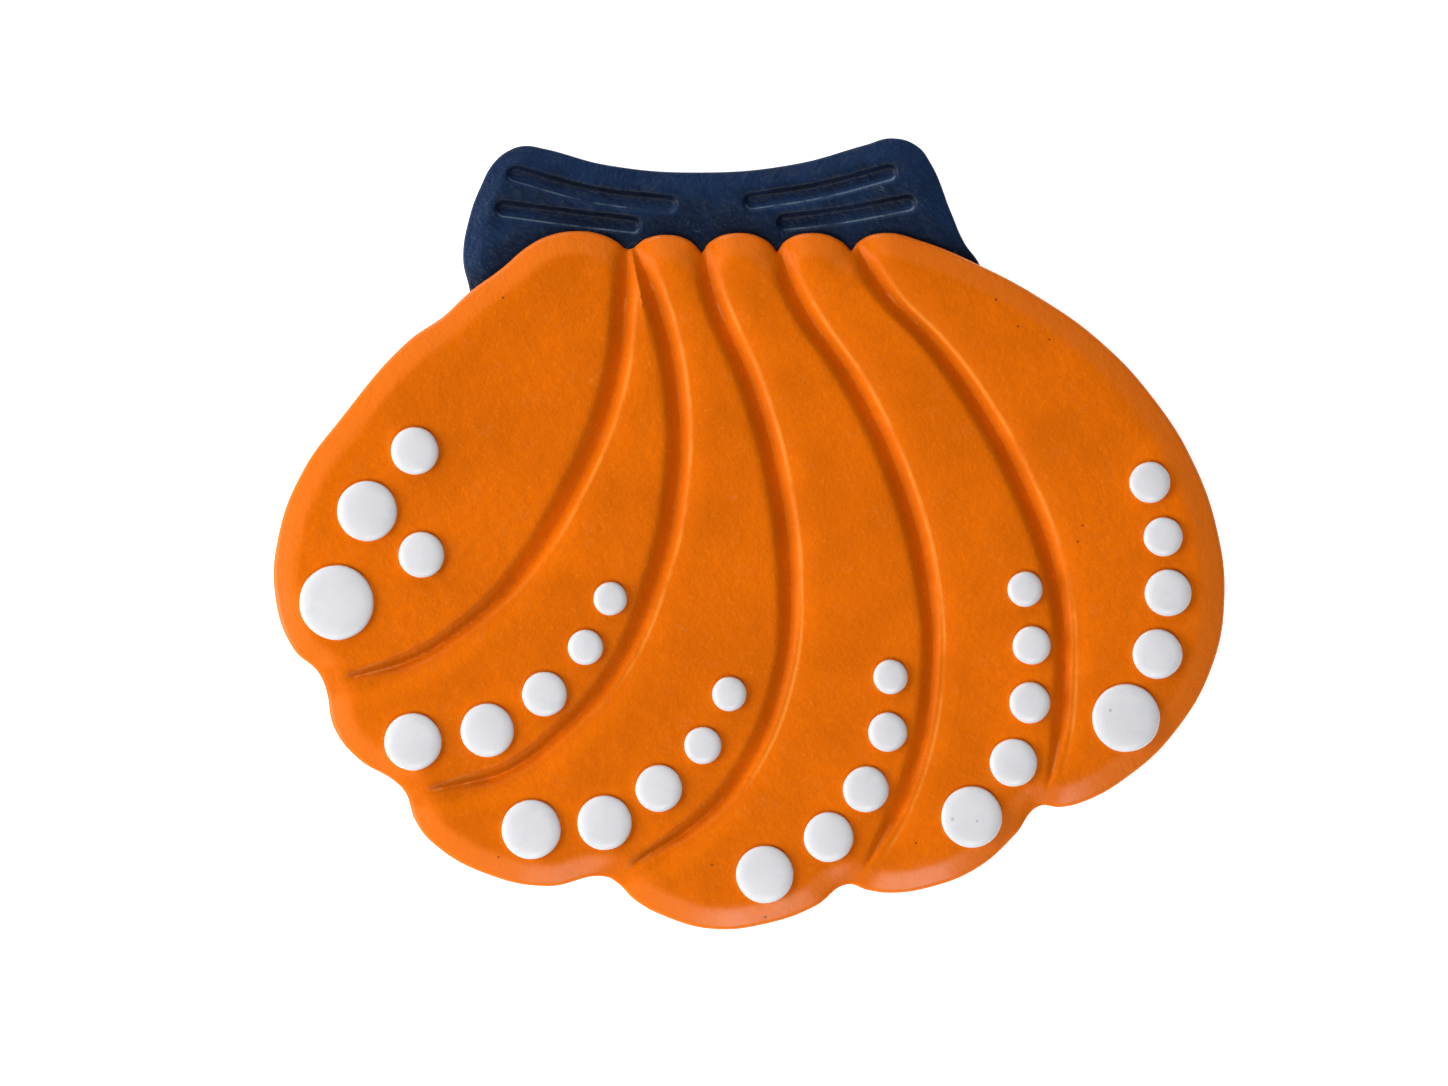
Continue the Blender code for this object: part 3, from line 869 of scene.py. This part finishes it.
def orange_finish(colour):
    look = Finish("orange_rubber", colour)
    turned = look.askew()
    broad = look.noise(turned, 110.0, 4.0, 0.6)
    grain = look.noise(turned, 900.0, 3.0, 0.65)
    fine = look.noise(turned, 2600.0, 3.0, 0.6)
    edge, channel = look.stored("from_edge"), look.stored("from_channel")
    left, side = look.stored("left_of_channel"), look.stored("below_channel")
    level = look.stored("level_channel")

    # The rubber is mottled, grained and speckled.
    look.base = look.tone(0.89)
    look.coat(look.rise(broad, 0.32, 0.68), 1.09)
    look.coat(look.rise(grain, 0.35, 0.65, 0.45), 0.89)
    look.coat(look.rise(fine, 0.58, 0.72, 0.4), SPECK)

    # A painted highlight follows the crest, which is nearer where the groove runs across.
    wall_run = 0.85 * RIGHT_WALL * bpy.context.scene.plaque_body.groove_width
    crest_place = look.mix(level, GROOVE_FLOOR + wall_run, GROOVE_FLOOR + 0.6 * wall_run)
    down = look.product(look.rest(left), look.fade(side, 0.4, 0.8))
    across = look.product(left, look.fade(side, -0.95, -0.6, 0.7))
    patchy = look.spread(look.noise(look.place, 160.0, 4.0, 0.6), 0.35, 0.6, 0.15, 0.75)
    look.coat(look.product(look.fade(look.apart(channel, crest_place), 0.04 * MM, 0.34 * MM),
                           look.math("MAXIMUM", down, across), patchy,
                           look.rise(edge, 2.5 * MM, 7.0 * MM)), CREST_HIGHLIGHT)

    # Where a groove runs across, its upper wall gets painted shade and the rib below it a painted light
    # tone.
    look.coat(look.product(look.fade(side, -0.9, -0.3), look.fade(channel, 0.3 * MM, 1.3 * MM, 0.62),
                           look.rise(edge, 1.9 * MM, 3.2 * MM), level), 0.5)
    look.coat(look.product(look.rise(channel, 1.0 * MM, 1.9 * MM), look.fade(channel, 2.2 * MM, 3.8 * MM),
                           look.rise(side, 0.3, 0.8, 0.3), level), 1.3)

    # Painted highlights lie in pale streaks on the floor of the grooves near their ends.
    valley_highlight = look.product(look.fade(channel, 0.05 * MM, 0.22 * MM),
                          look.rise(look.noise(turned, 480.0, 3.0), 0.48, 0.62, 0.6))
    near_end = look.product(look.rise(edge, 2.0 * MM, 3.5 * MM), look.fade(edge, 6.0 * MM, 10.0 * MM))
    look.coat(look.product(valley_highlight, near_end), VALLEY_HIGHLIGHT)

    # The band along the edge gets a paler tone, which is painted sheen, and real gloss, except beside a
    # groove.
    on_band = look.product(look.fade(edge, 1.9 * MM, 2.9 * MM),
                           look.spread(channel, 0.9 * MM, 2.4 * MM, 0.1, 1.0))
    look.coat(on_band, BAND_SHEEN)
    look.coat(look.lint(0.3), ORANGE_LINT)
    holes = look.pinholes(ORANGE_PINHOLES)
    # The pinholes are darkened: painted shade in them.
    look.coat(look.product(holes, 0.8), 0.3)
    gloss = look.math("MULTIPLY_ADD", on_band, look.spread(broad, 0.3, 0.7, 0.14, 0.36), 0.03)
    height = look.less(look.math("ADD", fine, look.product(grain, 2.0)), holes)
    return look.finished({
        "Roughness": look.spread(grain, 0.3, 0.7, 0.38, 0.50), "Specular IOR Level": 0.05,
        "Coat Weight": gloss, "Coat Roughness": 0.26,
    }, height, 0.045 * MM)


def navy_finish(colour):
    look = Finish("navy_rubber", colour)
    turned = look.askew()
    cloud = look.noise(turned, 520.0, 4.0, 0.7)
    fine = look.noise(turned, 2200.0, 4.0, 0.65)
    beside, side = look.stored("from_channel"), look.stored("below_channel")
    half_slot = bpy.context.scene.plaque_hinge.slot_width / 2

    # The rubber is clouded, with a faint bloom and pale specks, and it is lighter along its free edge, which
    # is painted light on the edge's slope.
    look.base = look.tone(0.75)
    look.coat(look.rise(look.noise(turned, 170.0, 5.0, 0.65), 0.35, 0.7), 1.55)
    look.coat(look.rise(cloud, 0.5, 0.75, 0.06), CHALK_AND_HIGHLIGHT)
    look.coat(look.rise(fine, 0.60, 0.74, 0.12), CHALK_AND_HIGHLIGHT)
    look.coat(look.fade(look.stored("from_edge"), 1.2 * MM, 2.3 * MM, 0.55), 1.7)

    # The slots get painted shade on their floors and upper walls, and a painted light tone on their lower
    # walls.
    look.coat(look.fade(beside, 0.5 * half_slot, 0.9 * half_slot, 0.4), 0.6)
    on_wall = look.fade(look.apart(beside, 0.95 * half_slot), 0.15 * MM, 0.6 * MM)
    uneven = look.spread(look.noise(look.place, 75.0, 2.0), 0.35, 0.6, 0.45, 1.0)
    look.coat(look.product(on_wall, look.fade(side, -0.7, 0.1, 0.85), uneven), 0.16)
    look.coat(look.product(on_wall, look.rise(side, 0.2, 0.9, 0.75)), 2.3)

    # The band gets painted shade beside the shell body and a patchy painted highlight in a chalk tone along
    # the slots' lower lips, and dust has settled on it.
    look.coat(look.fade(look.stored("from_neighbour"), 0.3 * MM, 3.2 * MM, 0.6), 0.35)
    patchy = look.spread(look.noise(look.place, 130.0, 5.0, 0.7), 0.40, 0.58, 0.08, 0.7)
    look.coat(look.product(look.fade(look.apart(beside, half_slot), 0.0, 0.16 * MM),
                           look.rise(side, 0.1, 0.8), patchy), CHALK_AND_HIGHLIGHT)
    dust = look.lint(0.5)
    look.coat(dust, CHALK_AND_HIGHLIGHT)
    height = look.math("ADD", look.math("ADD", fine, look.product(cloud, 3.0)), dust)
    return look.finished({
        "Roughness": look.spread(fine, 0.3, 0.7, 0.34, 0.46), "Specular IOR Level": 0.18,
    }, height, 0.08 * MM)


def white_finish(colour):
    look = Finish("white_rubber", colour)
    fine = look.noise(look.place, 1800.0, 3.0)
    holes = look.pinholes(WHITE_PINHOLES)
    look.base = look.tone(0.97)
    look.coat(look.rise(look.noise(look.place, 250.0, 2.0), 0.3, 0.7), 1.03)
    look.coat(look.rise(look.noise(look.askew(), 520.0, 4.0, 0.65), 0.5, 0.72, 0.3), SMUDGE)
    # The pinholes are darkened: painted shade in them.
    look.coat(look.product(holes, 0.35), PINHOLE_SHADE)
    return look.finished({"Roughness": look.spread(fine, 0.3, 0.7, 0.32, 0.42)},
                         look.less(fine, holes), 0.015 * MM)


def floor_finish():
    look = Finish("white_paper")
    look.base = PAPER
    look.coat(look.noise(look.place, 600.0, 3.0), BRIGHT_PAPER)
    return look.finished({"Roughness": 0.9, "Emission Color": WHITE, "Emission Strength": 1.0})


# ---------------------------------------------------------------- pieces

def body_edge():
    return smooth_line(BODY_OUTLINE, True, EDGE_SPACING, HEAD_NOTCHES)


def settled(piece, nodes):
    """Hang a finished piece on the empty of the body that it rides on, and hide the solids that it stands
    for.
    """
    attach(piece, BODY)
    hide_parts(*nodes)


def relief_values(sizes, edge, channels, neighbour, finish, own):
    """Inputs of the relief tree: those that both moulded pieces share, and a piece's own."""
    return {
        "Edge": edge, "Channels": channels, "Neighbour": neighbour, "Flat height": sizes.flat_height,
        "Rim height": sizes.rim_height, "Band width": sizes.band_width, "Rim rounding": sizes.rim_rounding,
        "Waviness": sizes.waviness, "Material": finish(sizes.colour), **own,
    }


def drop_guides(*guides):
    for line in guides:
        bpy.data.objects.remove(line)


class PLAQUE_OT_body(bpy.types.Operator):
    """Make the orange shell body with its band and grooves"""

    bl_idname = "plaque.body"
    bl_label = "Shell body"

    def execute(self, context):
        sizes = context.scene.plaque_body
        outline = body_edge()
        grooves = [smooth_line(points, False, LINE_SPACING) for points in GROOVES]
        rows = []
        for groove in grooves:
            rows += rows_beside(groove, False, GROOVE_ROWS, (1, -1))
        rows += rows_beside(outline, True, EDGE_ROWS, (1,))
        edge, lines = guide("body_edge", [outline], True), guide("groove_lines", grooves, False)
        plan = blank("shell_body_skin", outline, None, rows, BODY_FOOT_INSET)
        piece = grown_from(plan, "shell_body_skin", relief_tree(), relief_values(
            sizes, edge, lines, edge, orange_finish, {
                "Channel depth": sizes.groove_depth, "Channel floor": GROOVE_FLOOR,
                "Left wall": LEFT_WALL * sizes.groove_width, "Right wall": RIGHT_WALL * sizes.groove_width,
                "Level share": 0.8, "Level depth": 0.8, "Roll depth": 0.32 * MM, "Roll width": 2.4 * MM,
                "Valley softness": 0.5 * MM, "Crest softness": 0.28 * MM, "Left crest softness": 0.6 * MM,
                "Corner softness": 0.5 * MM, "Corner reach": 5.0 * MM, "Band softness": 0.55 * MM,
                "Channel run-out": 8.5 * MM, "Open beyond": 15.0 * MM,
            }), sharp_angle=40)
        drop_guides(edge, lines)
        settled(piece, [BODY_NODE])
        return {"FINISHED"}


class PLAQUE_OT_hinge(bpy.types.Operator):
    """Make the navy hinge band with its slots"""

    bl_idname = "plaque.hinge"
    bl_label = "Hinge band"

    def execute(self, context):
        sizes = context.scene.plaque_hinge
        outline = smooth_line(HINGE_FREE_EDGE + HINGE_UNDER_HEADS, True, EDGE_SPACING)
        free_edge = smooth_line(HINGE_FREE_EDGE, False, EDGE_SPACING)
        slots = [smooth_line(points, False, LINE_SPACING) for points in SLOTS]
        rows = []
        for slot in slots:
            rows += rows_beside(slot, False, SLOT_ROWS, (1, -1), round_ends=True)
        rows += rows_beside(outline, True, HINGE_EDGE_ROWS, (1,))
        edge, lines = guide("hinge_edge", [free_edge], False), guide("slot_lines", slots, False)
        heads = guide("heads_edge", [body_edge()], True)
        half_slot = sizes.slot_width / 2
        slope = 0.67 * half_slot
        plan = blank(HINGE_SKIN, outline, body_edge(), rows)
        piece = grown_from(plan, HINGE_SKIN, relief_tree(), relief_values(
            sizes, edge, lines, heads, navy_finish, {
                "Channel depth": sizes.slot_depth, "Channel floor": slope, "Left wall": slope,
                "Right wall": slope, "Level share": 0.0, "Level depth": 1.0, "Roll depth": 0.0,
                "Roll width": 1.0 * MM, "Valley softness": 0.25 * MM, "Crest softness": 0.16 * MM,
                "Left crest softness": 0.2 * MM, "Corner softness": 0.0, "Corner reach": 1.0 * MM,
                "Band softness": 0.15 * MM, "Channel run-out": 0.5 * MM, "Open beyond": 1.0,
            }), sharp_angle=60)
        drop_guides(edge, lines, heads)
        settled(piece, [HINGE_NODE])
        return {"FINISHED"}


class PLAQUE_OT_dots(bpy.types.Operator):
    """Make the white dots on the ribs"""

    bl_idname = "plaque.dots"
    bl_label = "Dots"

    def execute(self, context):
        sizes = context.scene.plaque_dots
        dots = [dot for rib in DOTS for dot in rib]
        seats = bpy.data.meshes.new("dot_seats")
        seats.from_pydata([(x * MM, y * MM, sizes.foot_height) for x, y, _ in dots], [], [])
        radius = seats.attributes.new("radius", "FLOAT", "POINT")
        radius.data.foreach_set("value", [diameter / 2 * MM for _, _, diameter in dots])
        piece = grown_from(seats, "dots_skin", dots_tree(), {
            "Height": sizes.top_height - sizes.foot_height - sizes.dome, "Shoulder": sizes.shoulder,
            "Shoulder drop": sizes.shoulder_drop, "Dome": sizes.dome, "Wobble": sizes.wobble,
            "Sides": sizes.sides, "Material": white_finish(sizes.colour),
        }, sharp_angle=50)
        settled(piece, DOT_NODES)
        return {"FINISHED"}


def area_light(name, azimuth, elevation, distance, size, power, aim):
    """A square soft light in a direction (azimuth from +X and elevation, in degrees) from aim."""
    azimuth, elevation = math.radians(azimuth), math.radians(elevation)
    back = Vector((math.cos(azimuth) * math.cos(elevation), math.sin(azimuth) * math.cos(elevation),
                   math.sin(elevation)))
    light = bpy.data.lights.new(name, "AREA")
    light.size = size
    light.energy = power
    lamp = linked(bpy.data.objects.new(name, light))
    lamp.location = aim + back * distance
    lamp.rotation_mode = "QUATERNION"
    lamp.rotation_quaternion = back.to_track_quat("Z", "Y")


class PLAQUE_OT_stage(bpy.types.Operator):
    """Set the floor, the lights and the camera"""

    bl_idname = "plaque.stage"
    bl_label = "Studio"

    def execute(self, context):
        sizes = context.scene.plaque_stage
        context.scene.view_settings.view_transform = "Standard"
        shape = bmesh.new()
        bmesh.ops.create_grid(shape, x_segments=1, y_segments=1, size=FLOOR_HALF_WIDTH)
        mesh = bpy.data.meshes.new("floor")
        shape.to_mesh(mesh)
        shape.free()
        mesh.materials.append(floor_finish())
        floor = linked(bpy.data.objects.new("floor", mesh))
        floor.location.z = -FLOOR_DROP
        aim = Vector((sizes.view_centre[0], sizes.view_centre[1], CAD_HIGH.z * AIM_SHARE))
        for name, (azimuth, elevation, share) in LIGHTS.items():
            area_light(name, azimuth, elevation, sizes.light_distance, share * sizes.light_size,
                       getattr(sizes, name), aim)
        world = bpy.data.worlds.new("daylight")
        world.use_nodes = True
        background = world.node_tree.nodes["Background"]
        background.inputs["Color"].default_value = WHITE
        background.inputs["Strength"].default_value = sizes.daylight
        context.scene.world = world
        camera_data = bpy.data.cameras.new("camera")
        camera_data.lens = sizes.lens
        camera_data.dof.use_dof = False
        camera = linked(bpy.data.objects.new("camera", camera_data))
        distance = sizes.view_width * sizes.lens / camera_data.sensor_width
        camera.location = aim + Vector((0.0, 0.0, distance))
        camera_data.clip_start, camera_data.clip_end = CLIP_NEAR, CLIP_FAR
        context.scene.camera = camera
        return {"FINISHED"}


class PLAQUE_PT_panel(bpy.types.Panel):
    """Sizes, colours and makers of the plaque's pieces"""

    bl_idname = "PLAQUE_PT_panel"
    bl_label = "Scallop shell plaque"
    bl_space_type = "VIEW_3D"
    bl_region_type = "UI"
    bl_category = "Plaque"

    def draw(self, context):
        for settings, _, maker in PIECES:
            box = self.layout.box()
            group = getattr(context.scene, settings)
            for name in group.bl_rna.properties.keys():
                if name not in {"rna_type", "name"}:
                    box.prop(group, name)
            box.operator(maker.bl_idname)


# The name under which the scene holds each group of settings, the group, and the maker that reads it.
PIECES = [
    ("plaque_body", PlaqueBodySettings, PLAQUE_OT_body),
    ("plaque_hinge", PlaqueHingeSettings, PLAQUE_OT_hinge),
    ("plaque_dots", PlaqueDotSettings, PLAQUE_OT_dots),
    ("plaque_stage", PlaqueStageSettings, PLAQUE_OT_stage),
]


def register():
    for name, group, maker in PIECES:
        bpy.utils.register_class(group)
        setattr(bpy.types.Scene, name, PointerProperty(type=group))
        bpy.utils.register_class(maker)
    bpy.utils.register_class(PLAQUE_PT_panel)


def unregister():
    bpy.utils.unregister_class(PLAQUE_PT_panel)
    for name, group, maker in reversed(PIECES):
        bpy.utils.unregister_class(maker)
        delattr(bpy.types.Scene, name)
        bpy.utils.unregister_class(group)


def main():
    register()
    bpy.ops.plaque.body()
    bpy.ops.plaque.hinge()
    bpy.ops.plaque.dots()
    bpy.ops.plaque.stage()


if __name__ == "__main__":
    main()
